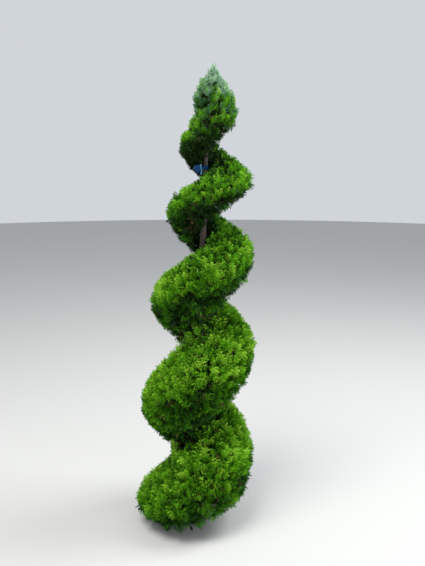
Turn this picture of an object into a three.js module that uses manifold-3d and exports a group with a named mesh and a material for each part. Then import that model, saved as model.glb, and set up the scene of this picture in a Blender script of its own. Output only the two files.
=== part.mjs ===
// Spiral topiary: a conifer whose crown is clipped into one ramp that climbs the trunk in five turns.
// Millimetres, +Z up. The origin is the middle of the trunk's cut foot on the ground, the front is -Y.
import * as THREE from "three";
import { mergeVertices } from "three/addons/utils/BufferGeometryUtils.js";
import Module from "manifold-3d";

const wasm = await Module();
wasm.setup();
const { clamp, lerp, smoothstep } = THREE.MathUtils;
const UP = new THREE.Vector3(0, 0, 1);
const ALONG_Y = new THREE.Vector3(0, 1, 0);

// Crown: height of the tip, radius at the foot, and how the outline closes to a point
const HEIGHT = 1925;
const FOOT_RADIUS = 252;
const DOME_POWER = 1.8;
const CONE_SLOPE = 0.7;
const CONE_BLEND = 30;
const SMALLEST_RADIUS = 0.5;
const WAIST = 0.12;
const WAIST_STARTS = [1600, 1680];
const WAIST_ENDS = [1750, 1820];

// Hem: lowest at the left, rising with the ramp to the right, and rounded off over the height of its fade
const HEM_HEIGHT = 20;
const HEM_RISE = 110;
const HEM_POWER = 1.2;
const HEM_FADE = 80;
const HEM_ROUND = 155;
const HEM_RADIUS = 200;

// How far the crown's middle swings to the right of the trunk, and back again higher up
const CROWN_LEAN = 0.009;
const CROWN_SWING = 18;
const CROWN_SWINGS = [1000, 1400];
const CROWN_RETURN = 8;
const CROWN_RETURNS = [1450, 1750];
const SKEW_RADIUS = 60;

// Ramp: height of its middle line as powers of the turn, with turn 0 at the left, the swell of the top coil,
// and the ramp's slope to the right
const RAMP_CURVE = [100, 385.5, 114.7, -61.9, 10.61, -0.63];
const RAMP_SWELL = 30;
const SWELL_TURN = 4.3;
const SWELL_REACH = 0.4;
const RAMP_TILT = 0.5;
const TILT_REACH = 55;
const FIRST_TURN = -0.6;
const LAST_TURN = 5.5;
const HALVINGS = 30;

// Groove between two turns: how much of the outline radius is left in it, how much height it takes, and
// between which turns it opens, deepens, widens and closes
const GROOVE_FOOT = 0.88;
const GROOVE_LOW = 0.14;
const GROOVE_HIGH = 0.08;
const GROOVE_TIP = 0.95;
const GROOVE_OPENS = [-0.05, 0.72];
const GROOVE_DEEPENS = [0.9, 2.6];
const GROOVE_CLOSES = [3.95, 4.75];
const FILL_LOW = 1.03;
const FILL_HIGH = 0.88;
const GROOVE_WIDENS = [1.6, 2.8];
const BULGE_LIFT = 0.1;
const BULGE_LIFTS = [2.0, 3.2];
const BULGE_SWING = 0.05;
const PROFILE_POWER = 0.72;

// Lowest coil, most of all on the left: how much further its bulge leans down, how much more straight its
// upper side slopes, and between which turns both fade
const FOOT_LEAN = 0.25;
const FOOT_SLOPE = 0.3;
const FOOT_FADES = [0.4, 0.6];

// Trunk: taper, lean, the bend below its tip, and a root flare with waves of count, size and start
const TRUNK_TOP = 1850;
const TRUNK_RADIUS = 26;
const TRUNK_TIP_RADIUS = 4;
const TRUNK_TAPER = 0.9;
const TRUNK_SIDES = 14;
const TRUNK_LEAN = 0.041;
const TRUNK_BEND = 13.6;
const TRUNK_BENDS = [1550, 1850];
const FLARE = 15;
const FLARE_HEIGHT = 38;
const FLARE_WAVES = [[5, 0.4, 0.6], [2, 0.2, -0.9]];
const FLARE_RINGS = [0, 8, 22, 45, 80, 130];
const TRUNK_RINGS = 12;

// Masses: thirds of a turn along the ramp, then one for the whole top
const MASS_COUNT = 14;
const MASS_TURNS = 1 / 3;
const RAMP_BEGIN = -1 / 3;
const CORE_REACH = 0.47;
const SPACE_REACH = 0.488;
const CORE_INSET = 5;
const CORE_INSET_SHARE = 0.085;
const CORE_INSET_TIP = 0.25;
const CORE_LIP = 4;
const CORE_HEM = 20;
const CORE_STEPS = 5;
const SECTION_POINTS = 8;
const CAP_GAP = 0.3;
const HOLLOW_TIP = 16;
const HOLLOW_FOOT = 26;

// Sprays: a twig with one leaf at its end and one on each side, at the size they have at the foot
const SPRAY_SEED = 111;
const SPRAY_COLUMNS = 3;
const SPRAY_ROWS = 5;
const SPRAY_TRIES = 8;
const CELL_MARGIN = 0.1;
const SPRAY_LENGTH = 90;
const SPRAY_SMALLEST = 0.5;
const SPRAY_PROUD = 12;
const SPRAY_GAP = 1.5;
const SPRAY_SUNK = 6;
const SPRAY_HEM = -8;
const SPRAY_BELOW_CORE = 10;
const SPRAY_JITTER = 8;
const SPRAY_LIFT = 0.55;
const UNDERSIDE_LIFT = 0.1;
const UNDERSIDE = -0.3;
const SPRAY_LOOSE = 0.5;
const STEP_ROUND = 0.02;
const STEP_UP = 4;
const SPRAY_TWIST = 2.2;
const LEAF_LENGTH = 76;
const LEAF_WIDTH = 40;
const LEAF_THICK = 6;
const LEAF_WIDEST = 0.42;
const LEAF_LAP = 0.92;
const SIDE_LEAF_SHARE = 0.8;
const SIDE_LEAF_ANGLE = 0.75;
const SIDE_LEAF_AT = 0.42;
const TWIG_SHARE = 0.6;
const TWIG_ROOT_RADIUS = 3.4;
const TWIG_TIP_RADIUS = 2.2;
const TWIG_SIDES = 3;

// Smallest edge that a fused solid keeps
const SLIVER = 0.2;

// Boughs from the trunk and the stems that carry on from them inside each mass
const LIMB_GAP = 0.3;
const BOUGH_RADIUS = 6.5;
const BOUGH_SLOPE = 0.6;
const BOUGH_CLEAR = 6;
const BOUGH_TAPER = 0.8;
const BOUGH_THINNEST = 0.38;
const BOUGH_SIDES = 8;
const LOWEST_BOUGH = 105;
const STEM_LENGTH = 46;
const STEM_TAPER = 0.5;

// Top mass: wedges of core round a plug, and the leader that makes the tip
const TOP_SEED = 77;
const TOP_WEDGES = 3;
const TOP_WEDGE_LAP = 0.03;
const TOP_HOLLOW = 3;
const TOP_CORE_END = 14;
const PLUG_END = 40;
const PLUG_RADII = [12, 9];
const LEADER_LENGTH = 60;
const LEADER_RADII = [14, 1.2];

// Tie: a plastic band round the trunk, and a neck from it to a knot that stands off at the front left
const TIE_HEIGHT = 1522;
const TIE_WIDTH = 10;
const TIE_THICK = 1.3;
const TIE_KNOT = 5;
const TIE_BALL_SIDES = [8, 6];
const TIE_KNOT_ANGLE = 4.15;
const TIE_KNOT_REACH = 32;
const TIE_NECK = 3.5;

// Loops bunched on the knot: length, swing from the left towards the front, drop; then their section
const TIE_LOOPS = [[30, 0.25, 0], [26, 0.35, 0.65], [17, 0.3, -0.45], [13, 2.9, 0.2]];
const TIE_LOOP_THICK = 6;
const TIE_LOOP_WIDTH = 15;

// Tails in front of the knot: width, height above the knot, length, swing to the left
const TIE_TAILS = [[5, 12, 38, 0], [8, 2, 24, 0.35]];
const TIE_TAIL_THICK = 1.4;
const TIE_TAIL_OUT = 4.5;

const bark = new THREE.MeshStandardMaterial({ color: 0x6d5a48, roughness: 0.9, metalness: 0 });
const foliage = new THREE.MeshStandardMaterial({ color: 0x4f8428, roughness: 0.75, metalness: 0 });
const tie = new THREE.MeshStandardMaterial({ color: 0x124a8c, roughness: 0.5, metalness: 0 });

// A seeded row of numbers from 0 to 1, the same on each run
function randomRow(seed) {
  let state = seed >>> 0;
  return () => {
    state = (state + 0x6d2b79f5) >>> 0;
    let mixed = Math.imul(state ^ (state >>> 15), state | 1);
    mixed ^= mixed + Math.imul(mixed ^ (mixed >>> 7), mixed | 61);
    return ((mixed ^ (mixed >>> 14)) >>> 0) / 4294967296;
  };
}

// Height of the ramp's middle line after so many turns, and the turn at a height, by halving
function centreHeight(turn) {
  const swell = RAMP_SWELL * Math.exp(-(((turn - SWELL_TURN) / SWELL_REACH) ** 2));
  return RAMP_CURVE.reduceRight((sum, term) => sum * turn + term, 0) + swell;
}

function turnAt(height) {
  let low = FIRST_TURN;
  let high = LAST_TURN;
  for (let pass = 0; pass < HALVINGS; pass += 1) {
    const middle = (low + high) / 2;
    if (centreHeight(middle) < height) {
      low = middle;
    } else {
      high = middle;
    }
  }
  return (low + high) / 2;
}

// Radius of the tree's outline before the groove is cut: a tall dome with a waist, running out in a cone
function envelope(height) {
  const dome = FOOT_RADIUS * Math.sqrt(1 - clamp(height / HEIGHT, 0, 1) ** DOME_POWER);
  const cone = CONE_SLOPE * (HEIGHT - height);
  const blend = clamp(0.5 + (0.5 * (cone - dome)) / CONE_BLEND, 0, 1);
  const waist = WAIST * smoothstep(height, ...WAIST_STARTS) * (1 - smoothstep(height, ...WAIST_ENDS));
  const whole = lerp(cone, dome, blend) - CONE_BLEND * blend * (1 - blend);
  return Math.max(whole * (1 - waist), SMALLEST_RADIUS);
}

// The groove is shallow at the foot, deepens to near the trunk, and runs out below the tip
function grooveShare(turn) {
  const cut = lerp(GROOVE_LOW, GROOVE_HIGH, smoothstep(turn, ...GROOVE_DEEPENS));
  const begun = lerp(GROOVE_FOOT, cut, smoothstep(turn, ...GROOVE_OPENS));
  return lerp(begun, GROOVE_TIP, smoothstep(turn, ...GROOVE_CLOSES));
}

function angleOf(turn) {
  return 2 * Math.PI * (turn + 0.5);
}

// Height above the ground of the crown's lower edge
function hemHeight(angle) {
  return HEM_HEIGHT + HEM_RISE * (0.5 + 0.5 * Math.cos(angle)) ** HEM_POWER;
}

// Radius of the clipped surface: least in the groove, and fullest near the ramp's middle line, in a bulge
// that leans up on the right and down on the left
function outlineRadius(angle, height) {
  const turn = turnAt(height);
  const steps = turn - (angle / (2 * Math.PI) - 0.5);
  const phase = steps - Math.round(steps);
  const fill = lerp(FILL_LOW, FILL_HIGH, smoothstep(turn, ...GROOVE_WIDENS));
  const foot = (0.5 - 0.5 * Math.cos(angle)) * (1 - smoothstep(turn, ...FOOT_FADES));
  const swing = BULGE_SWING * Math.cos(angle) - FOOT_LEAN * foot;
  const lift = BULGE_LIFT * smoothstep(turn, ...BULGE_LIFTS) + swing;
  const lifted = phase - lift * (1 - 4 * phase ** 2);
  const power = PROFILE_POWER + FOOT_SLOPE * foot;
  const profile = (1 - Math.min(Math.abs((2 * lifted) / fill), 1) ** 2) ** power;
  const share = lerp(grooveShare(turn), 1, profile);
  const above = height - hemHeight(angle);
  const hem = Math.sqrt(1 - (clamp(HEM_FADE - above, 0, HEM_FADE) / HEM_ROUND) ** 2);
  return envelope(height) * hem * share;
}

function coreRadius(angle, height) {
  const whole = envelope(height);
  const inset = Math.min(CORE_INSET + CORE_INSET_SHARE * whole, CORE_INSET_TIP * whole);
  return outlineRadius(angle, height) - inset;
}

// Trunk: radius without its root flare, and how far its middle stands from the origin
function trunkRadius(height) {
  const left = clamp(1 - height / TRUNK_TOP, 0, 1);
  return TRUNK_TIP_RADIUS + (TRUNK_RADIUS - TRUNK_TIP_RADIUS) * left ** TRUNK_TAPER;
}

function trunkOffset(height) {
  return TRUNK_LEAN * height + TRUNK_BEND * smoothstep(height, ...TRUNK_BENDS);
}

// Free space round the trunk that no mass of the ramp enters
function hollowRadius(height) {
  return trunkRadius(height) + HOLLOW_TIP + HOLLOW_FOOT * (1 - height / HEIGHT);
}

// The crown's middle swings off the trunk, told as a share of the outline radius
function crownSkew(height) {
  const swing = CROWN_LEAN * height + CROWN_SWING * smoothstep(height, ...CROWN_SWINGS);
  const back = CROWN_RETURN * smoothstep(height, ...CROWN_RETURNS);
  const shift = swing - back - TRUNK_BEND * smoothstep(height, ...TRUNK_BENDS);
  return shift / Math.max(envelope(height), SKEW_RADIUS);
}

// Slope of the ramp from left to right: steep by the trunk, easing outward
function tilt(radius) {
  return RAMP_TILT / (1 + radius / TILT_REACH);
}

// A point of the crown from its radius, angle and height before the ramp is tilted, and back again
function place(radius, angle, height) {
  const x = trunkOffset(height) + radius * (Math.cos(angle) + crownSkew(height));
  return new THREE.Vector3(x, radius * Math.sin(angle), height - tilt(radius) * radius * Math.cos(angle));
}

function locate(point) {
  let height = point.z;
  let radius = 0;
  let across = 0;
  for (let pass = 0; pass < 6; pass += 1) {
    const skew = crownSkew(height);
    const away = point.x - trunkOffset(height);
    const square = (away * skew) ** 2 + (1 - skew ** 2) * (away ** 2 + point.y ** 2);
    radius = (Math.sqrt(square) - away * skew) / (1 - skew ** 2);
    across = away - radius * skew;
    height = point.z + tilt(radius) * across;
  }
  const angle = Math.atan2(point.y, across);
  const turn = turnAt(height);
  const steps = turn - (angle / (2 * Math.PI) - 0.5);
  let phase = steps - Math.round(steps);
  if (turn - phase < RAMP_BEGIN) {
    phase -= 1;
  }
  return { radius, angle, height, phase, along: turn - phase };
}

// Solids from geometries and back
function solidOf(geometry) {
  const bare = geometry.clone();
  bare.deleteAttribute("normal");
  bare.deleteAttribute("uv");
  const merged = mergeVertices(bare, 1e-4);
  const vertProperties = new Float32Array(merged.attributes.position.array);
  const triVerts = new Uint32Array(merged.index.array);
  return new wasm.Manifold(new wasm.Mesh({ numProp: 3, vertProperties, triVerts }));
}

function geometryOf(solid) {
  const { vertProperties, triVerts } = solid.getMesh();
  const geometry = new THREE.BufferGeometry();
  geometry.setAttribute("position", new THREE.BufferAttribute(vertProperties, 3));
  geometry.setIndex(new THREE.BufferAttribute(triVerts, 1));
  geometry.computeVertexNormals();
  return geometry;
}

// The one outer body of a fused solid: loose scraps are dropped, sealed hollows filled, slivers closed
function keepLargest(solid) {
  const pieces = solid.decompose();
  return pieces.reduce((best, piece) => (piece.volume() > best.volume() ? piece : best)).simplify(SLIVER);
}

// A closed body through rings of points that all have the same count, with a flat cap on each end
function ringBody(rings) {
  const size = rings[0].length;
  const points = rings.flat();
  const faces = [];
  for (let ring = 0; ring + 1 < rings.length; ring += 1) {
    for (let step = 0; step < size; step += 1) {
      const here = ring * size + step;
      const next = ring * size + ((step + 1) % size);
      faces.push(here, next, next + size, here, next + size, here + size);
    }
  }
  const last = (rings.length - 1) * size;
  for (let step = 1; step + 1 < size; step += 1) {
    faces.push(0, step + 1, step);
    faces.push(last, last + step, last + step + 1);
  }
  const geometry = new THREE.BufferGeometry().setFromPoints(points);
  geometry.setIndex(faces);
  const solid = solidOf(geometry);
  if (solid.volume() > 0) {
    return solid;
  }
  geometry.setIndex(faces.reverse());
  return solidOf(geometry);
}

// A tapering round limb from one point to another
function limbGeometry(from, to, startRadius, endRadius, sides) {
  const length = from.distanceTo(to);
  const geometry = new THREE.CylinderGeometry(endRadius, startRadius, length, sides);
  const direction = to.clone().sub(from).normalize();
  geometry.applyQuaternion(new THREE.Quaternion().setFromUnitVectors(ALONG_Y, direction));
  const middle = from.clone().lerp(to, 0.5);
  return geometry.translate(middle.x, middle.y, middle.z);
}

// Trunk: a lathed taper whose foot spreads in lobes, then leaned and bent. Extra makes it fatter all round
function trunkSolid(extra = 0) {
  const heights = [...FLARE_RINGS];
  const lowest = FLARE_RINGS.at(-1);
  for (let ring = 1; ring <= TRUNK_RINGS; ring += 1) {
    heights.push(lerp(lowest, TRUNK_TOP + extra, ring / TRUNK_RINGS));
  }
  const profile = heights.map((height) => new THREE.Vector2(trunkRadius(height) + extra, height));
  profile.unshift(new THREE.Vector2(0, 0));
  profile.push(new THREE.Vector2(0, TRUNK_TOP + extra));
  const geometry = new THREE.LatheGeometry(profile, TRUNK_SIDES).rotateX(Math.PI / 2);
  const position = geometry.attributes.position;
  for (let index = 0; index < position.count; index += 1) {
    const height = position.getZ(index);
    const angle = Math.atan2(position.getY(index), position.getX(index));
    const waves = FLARE_WAVES.map(([count, size, start]) => size * Math.cos(count * angle + start));
    const lobes = waves.reduce((sum, wave) => sum + wave, 1);
    const spread = 1 + (FLARE * lobes * Math.exp(-height / FLARE_HEIGHT)) / TRUNK_RADIUS;
    position.setX(index, position.getX(index) * spread + trunkOffset(height));
    position.setY(index, position.getY(index) * spread);
  }
  return keepLargest(solidOf(geometry));
}

// How far up or down from the ramp's middle line the core still has room outside the hollow
function coreReach(turn, side) {
  const angle = angleOf(turn);
  const hasRoom = (reach) => {
    const height = centreHeight(turn + side * reach);
    return coreRadius(angle, height) > hollowRadius(height) + CORE_LIP;
  };
  if (hasRoom(CORE_REACH)) {
    return CORE_REACH;
  }
  let low = 0;
  let high = CORE_REACH;
  for (let pass = 0; pass < HALVINGS; pass += 1) {
    const middle = (low + high) / 2;
    if (hasRoom(middle)) {
      low = middle;
    } else {
      high = middle;
    }
  }
  return low;
}

// Lowest height, before the tilt, that a section may reach at an angle, so that it ends above the hem
function coreHem(angle) {
  return hemHeight(angle) + CORE_HEM + tilt(HEM_RADIUS) * HEM_RADIUS * Math.cos(angle);
}

function sectionHeights(turn) {
  const angle = angleOf(turn);
  const hem = coreHem(angle);
  const open = turn < RAMP_BEGIN + 1 + 1e-6;
  const foot = open ? hem : Math.max(centreHeight(turn - coreReach(turn, -1)), hem);
  return { foot, top: centreHeight(turn + coreReach(turn, 1)) };
}

// One upright section of a core: points down the outer face, then two on the wall of the hollow
function coreSection(turn, { foot, top }, innerRadius) {
  const angle = angleOf(turn);
  const points = [];
  for (let step = 0; step < SECTION_POINTS; step += 1) {
    const share = (1 - Math.cos((Math.PI * step) / (SECTION_POINTS - 1))) / 2;
    const height = lerp(foot, top, share);
    const radius = Math.max(coreRadius(angle, height), innerRadius(height) + CORE_LIP);
    points.push(place(radius, angle, height));
  }
  points.push(place(innerRadius(top), angle, top));
  points.push(place(innerRadius(foot), angle, foot));
  return points;
}

function coreSweep(from, to, steps, heightsAt, innerRadius) {
  const rings = [];
  for (let step = 0; step <= steps; step += 1) {
    const turn = lerp(from, to, step / steps);
    rings.push(coreSection(turn, heightsAt(turn), innerRadius));
  }
  return ringBody(rings);
}

// Leaf of eight faces, widest nearer its root, lying along Y from 0 to 1
function leafShape() {
  const geometry = new THREE.OctahedronGeometry(1).scale(0.5, 0.5, 0.5).translate(0, 0.5, 0);
  const position = geometry.attributes.position;
  for (let index = 0; index < position.count; index += 1) {
    const along = position.getY(index);
    position.setY(index, along > 0 && along < 1 ? LEAF_WIDEST : along);
  }
  return geometry;
}

const LEAF = leafShape();

function leafGeometry(root, direction, side, size) {
  const face = new THREE.Vector3().crossVectors(side, direction).normalize();
  const matrix = new THREE.Matrix4().makeBasis(side, direction, face).setPosition(root);
  return LEAF.clone().scale(LEAF_WIDTH * size, LEAF_LENGTH * size, LEAF_THICK * size).applyMatrix4(matrix);
}

// Outward direction of the clipped surface, from two short steps along it
function outwardAt(angle, height) {
  const at = (a, h) => place(outlineRadius(a, h), a, h);
  const round = at(angle + STEP_ROUND, height).sub(at(angle - STEP_ROUND, height));
  const rise = at(angle, height + STEP_UP).sub(at(angle, height - STEP_UP));
  return round.cross(rise).normalize();
}

// The parts of one spray that ends at tip and points along direction, its root towards the trunk
function sprayParts(tip, direction, random, size) {
  const root = tip.clone().addScaledVector(direction, -SPRAY_LENGTH * size);
  const side = new THREE.Vector3().crossVectors(direction, UP).normalize();
  side.applyAxisAngle(direction, (random() - 0.5) * SPRAY_TWIST);
  const reach = (share) => root.clone().lerp(tip, share);
  const leafRoot = tip.clone().addScaledVector(direction, -LEAF_LENGTH * size * LEAF_LAP);
  const parts = [
    limbGeometry(root, reach(TWIG_SHARE), TWIG_ROOT_RADIUS * size, TWIG_TIP_RADIUS * size, TWIG_SIDES),
    leafGeometry(leafRoot, direction, side, size),
  ];
  const face = new THREE.Vector3().crossVectors(side, direction).normalize();
  for (const hand of [-1, 1]) {
    const turned = direction.clone().applyAxisAngle(face, hand * SIDE_LEAF_ANGLE);
    const turnedSide = side.clone().applyAxisAngle(face, hand * SIDE_LEAF_ANGLE);
    const from = reach(SIDE_LEAF_AT).addScaledVector(turned, -TWIG_ROOT_RADIUS * size * 2);
    parts.push(leafGeometry(from, turned, turnedSide, size * SIDE_LEAF_SHARE));
  }
  return { root, parts };
}

function insideSpace(point, space) {
  const spot = locate(point);
  const gap = SPRAY_GAP / (2 * Math.PI * Math.max(spot.radius, 1));
  const round = spot.along > space.from + gap && spot.along < space.to - gap;
  const below = spot.along < RAMP_BEGIN + 1 ? true : spot.phase > -SPACE_REACH;
  const above = spot.phase < (space.isTop ? 1 : SPACE_REACH);
  const outer = outlineRadius(spot.angle, spot.height) + SPRAY_PROUD;
  const clear = spot.radius > hollowRadius(spot.height) && spot.radius < outer;
  const low = point.z < hemHeight(spot.angle) + SPRAY_HEM;
  return round && below && above && clear && !low && point.z < HEIGHT;
}

function partFits(geometry, space) {
  const position = geometry.attributes.position;
  const point = new THREE.Vector3();
  for (let index = 0; index < position.count; index += 1) {
    if (!insideSpace(point.fromBufferAttribute(position, index), space)) {
      return false;
    }
  }
  return true;
}

function withinCell(random) {
  return lerp(CELL_MARGIN, 1 - CELL_MARGIN, random());
}

// Sprays of a mass: tried in every cell of a grid over its outer face, left out where they do not fit
function growSprays(space, seed) {
  const random = randomRow(seed);
  const solids = [];
  for (let cell = 0; cell < SPRAY_COLUMNS * space.rows; cell += 1) {
    const column = Math.floor(cell / space.rows);
    const row = cell % space.rows;
    for (let attempt = 0; attempt < SPRAY_TRIES; attempt += 1) {
      const turn = lerp(space.from, space.to, (column + withinCell(random)) / SPRAY_COLUMNS);
      const angle = angleOf(turn);
      const { foot, top } = space.heightsAt(turn);
      const height = lerp(foot - SPRAY_BELOW_CORE, top, (row + withinCell(random)) / space.rows);
      const size = Math.max(envelope(height) / FOOT_RADIUS, SPRAY_SMALLEST);
      const outward = outwardAt(angle, height);
      const lift = outward.z > UNDERSIDE ? SPRAY_LIFT : UNDERSIDE_LIFT;
      const loose = new THREE.Vector3(random() - 0.5, random() - 0.5, random() - 0.5);
      const direction = outward.addScaledVector(UP, lift).addScaledVector(loose, SPRAY_LOOSE).normalize();
      const tip = place(outlineRadius(angle, height) + SPRAY_JITTER * (random() - 0.5), angle, height);
      const { root, parts } = sprayParts(tip, direction, random, size);
      const spot = locate(root);
      const sunk = spot.radius < coreRadius(spot.angle, spot.height) - SPRAY_SUNK;
      if (sunk && parts.every((part) => partFits(part, space))) {
        solids.push(...parts.map(solidOf));
        break;
      }
    }
  }
  return solids;
}

// Bough from the trunk towards the middle of a mass, and the stem that carries on inside the mass
function boughLine(turn) {
  const angle = angleOf(turn);
  const height = Math.max(centreHeight(turn), LOWEST_BOUGH);
  const end = place(hollowRadius(height) - BOUGH_CLEAR, angle, height);
  const start = place(0, angle, height);
  const level = Math.hypot(end.x - start.x, end.y - start.y);
  start.z = end.z - BOUGH_SLOPE * level;
  const direction = end.clone().sub(start).normalize();
  const radius = BOUGH_RADIUS * Math.max(trunkRadius(height) / TRUNK_RADIUS, BOUGH_THINNEST);
  return { start, end, direction, radius };
}

function boughSolid({ start, end, radius }, fatTrunk) {
  const limb = limbGeometry(start, end, radius, radius * BOUGH_TAPER, BOUGH_SIDES);
  return keepLargest(solidOf(limb).subtract(fatTrunk));
}

function stemSolid({ end, direction, radius }) {
  const from = end.clone().addScaledVector(direction, LIMB_GAP);
  const to = from.clone().addScaledVector(direction, STEM_LENGTH);
  return solidOf(limbGeometry(from, to, radius * BOUGH_TAPER, radius * STEM_TAPER, BOUGH_SIDES));
}

function rampMass(index, line) {
  const from = RAMP_BEGIN + index * MASS_TURNS;
  const to = from + MASS_TURNS;
  const capGap = (turn) => CAP_GAP / (2 * Math.PI * hollowRadius(centreHeight(turn + CORE_REACH)));
  const core = coreSweep(from + capGap(from), to - capGap(to), CORE_STEPS, sectionHeights, hollowRadius);
  const space = { from, to, rows: SPRAY_ROWS, heightsAt: sectionHeights, isTop: false };
  const sprays = growSprays(space, SPRAY_SEED + index);
  return keepLargest(wasm.Manifold.union([core, stemSolid(line), ...sprays]));
}

// Top: one turn of the ramp whose sections all run up to the tip, closed round the trunk's end
function topMass(fatTrunk) {
  const begin = RAMP_BEGIN + MASS_COUNT * MASS_TURNS;
  const thin = () => TOP_HOLLOW;
  const top = HEIGHT - TOP_CORE_END;
  const heightsAt = (turn) => ({ foot: centreHeight(turn - coreReach(turn, -1)), top });
  const capGap = CAP_GAP / (2 * Math.PI * TOP_HOLLOW);
  const wedges = [];
  for (let part = 0; part < TOP_WEDGES; part += 1) {
    const from = begin + part / TOP_WEDGES + (part === 0 ? capGap : -TOP_WEDGE_LAP);
    wedges.push(coreSweep(from, begin + (part + 1) / TOP_WEDGES, CORE_STEPS, heightsAt, thin));
  }
  const onAxis = (height) => place(0, 0, height);
  const plugFoot = onAxis(centreHeight(begin));
  const plug = limbGeometry(plugFoot, onAxis(HEIGHT - PLUG_END), ...PLUG_RADII, BOUGH_SIDES);
  const leader = limbGeometry(onAxis(HEIGHT - LEADER_LENGTH), onAxis(HEIGHT), ...LEADER_RADII, BOUGH_SIDES);
  const space = { from: begin, to: LAST_TURN, rows: SPRAY_ROWS + 1, heightsAt, isTop: true };
  const sprays = growSprays(space, TOP_SEED);
  const whole = wasm.Manifold.union([...wedges, solidOf(plug), solidOf(leader), ...sprays]);
  return keepLargest(whole.subtract(fatTrunk));
}

function tieSolid(fatTrunk) {
  const inner = trunkRadius(TIE_HEIGHT - TIE_WIDTH) + LIMB_GAP;
  const outer = inner + TIE_THICK;
  const half = TIE_WIDTH / 2;
  const profile = [[inner, -half], [outer, -half], [outer, half], [inner, half], [inner, -half]];
  const centre = new THREE.Vector3(trunkOffset(TIE_HEIGHT), 0, TIE_HEIGHT);
  const band = new THREE.LatheGeometry(profile.map(([x, y]) => new THREE.Vector2(x, y)), TRUNK_SIDES);
  band.rotateX(Math.PI / 2).translate(...centre);
  const out = new THREE.Vector3(Math.cos(TIE_KNOT_ANGLE), Math.sin(TIE_KNOT_ANGLE), 0);
  const knot = centre.clone().addScaledVector(out, TIE_KNOT_REACH);
  const root = centre.clone().addScaledVector(out, inner);
  const neck = limbGeometry(root, knot, TIE_NECK, TIE_NECK, BOUGH_SIDES);
  const parts = [band, neck, new THREE.SphereGeometry(TIE_KNOT, ...TIE_BALL_SIDES).translate(...knot)];
  for (const [length, swing, drop] of TIE_LOOPS) {
    const ball = new THREE.SphereGeometry(0.5, ...TIE_BALL_SIDES).translate(-0.5, 0, 0);
    const loop = ball.scale(length, TIE_LOOP_THICK, TIE_LOOP_WIDTH);
    parts.push(loop.rotateY(-drop).rotateZ(swing).translate(...knot));
  }
  for (const [width, above, length, swing] of TIE_TAILS) {
    const tail = new THREE.BoxGeometry(width, TIE_TAIL_THICK, length).translate(0, 0, above - length / 2);
    parts.push(tail.rotateY(swing).translate(knot.x, knot.y - TIE_TAIL_OUT, knot.z));
  }
  return keepLargest(wasm.Manifold.union(parts.map(solidOf)).subtract(fatTrunk));
}

function meshOf(name, solid, material) {
  const mesh = new THREE.Mesh(geometryOf(solid), material);
  mesh.name = name;
  return mesh;
}

const tree = new THREE.Group();
const fatTrunk = trunkSolid(LIMB_GAP);
tree.add(meshOf("trunk", trunkSolid(), bark));
for (let index = 0; index < MASS_COUNT; index += 1) {
  const number = String(index + 1).padStart(2, "0");
  const line = boughLine(RAMP_BEGIN + (index + 0.5) * MASS_TURNS);
  tree.add(meshOf(`bough_${number}`, boughSolid(line, fatTrunk), bark));
  tree.add(meshOf(`foliage_${number}`, rampMass(index, line), foliage));
}
tree.add(meshOf("foliage_top", topMass(fatTrunk), foliage));
tree.add(meshOf("tree_tie", tieSolid(fatTrunk), tie));

export default tree;
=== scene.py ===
"""Dressed model of a spiral topiary: bark, twigs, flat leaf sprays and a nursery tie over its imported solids.

Metres, +Z up, the origin at the middle of the trunk's foot, the front towards -Y.
"""
import math

import bpy
import numpy as np
from bpy.props import FloatProperty, FloatVectorProperty, IntProperty, PointerProperty
from mathutils.kdtree import KDTree
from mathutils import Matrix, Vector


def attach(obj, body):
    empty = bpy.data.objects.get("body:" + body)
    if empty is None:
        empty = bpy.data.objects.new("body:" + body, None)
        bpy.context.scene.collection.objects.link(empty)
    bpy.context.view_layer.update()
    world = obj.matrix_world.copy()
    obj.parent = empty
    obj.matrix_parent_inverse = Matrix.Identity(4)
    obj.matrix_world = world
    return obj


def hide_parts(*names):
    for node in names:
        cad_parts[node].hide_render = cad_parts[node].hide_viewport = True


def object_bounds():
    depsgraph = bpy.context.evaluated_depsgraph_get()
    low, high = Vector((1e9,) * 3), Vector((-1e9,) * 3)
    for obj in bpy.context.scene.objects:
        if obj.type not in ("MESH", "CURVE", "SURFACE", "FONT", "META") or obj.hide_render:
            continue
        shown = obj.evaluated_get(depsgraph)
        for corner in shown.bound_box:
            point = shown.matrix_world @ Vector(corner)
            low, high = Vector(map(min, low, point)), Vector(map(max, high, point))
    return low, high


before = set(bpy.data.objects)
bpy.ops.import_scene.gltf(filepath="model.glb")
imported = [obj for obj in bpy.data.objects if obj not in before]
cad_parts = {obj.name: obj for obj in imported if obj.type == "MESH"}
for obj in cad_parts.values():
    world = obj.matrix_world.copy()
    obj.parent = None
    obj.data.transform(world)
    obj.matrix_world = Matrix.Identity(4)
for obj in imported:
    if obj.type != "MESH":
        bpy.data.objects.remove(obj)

bl_info = {
    "name": "Spiral topiary",
    "version": (1, 0, 0),
    "blender": (4, 5, 0),
    "location": "View3D > Sidebar > Topiary",
    "description": "Bark, twigs, leaf sprays and a tie for a conifer clipped into a spiral",
    "category": "Add Mesh",
}

CAD_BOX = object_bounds()
BODY = "root"
UP = np.array([0.0, 0.0, 1.0])

# Crown: the same outline as the solids have, in metres
HEIGHT = CAD_BOX[1].z
FOOT_RADIUS = 0.252
DOME_POWER = 1.8
CONE_SLOPE = 0.70
CONE_BLEND = 0.030
WAIST = 0.12
WAIST_BEGINS = (1.60, 1.68)
WAIST_ENDS = (1.75, 1.82)
THINNEST = 0.0005
HEM_FADE = 0.080
HEM_ROUND = 0.155
HEM_HEIGHT = 0.020
HEM_RISE = 0.110
HEM_POWER = 1.2

# How far the crown's middle swings to the right of the trunk, and back again higher up
CROWN_LEAN = 0.009
CROWN_SWING = 0.018
CROWN_SWINGS = (1.0, 1.4)
CROWN_RETURN = 0.008
CROWN_RETURNS = (1.45, 1.75)
SKEW_RADIUS = 0.060

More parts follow.
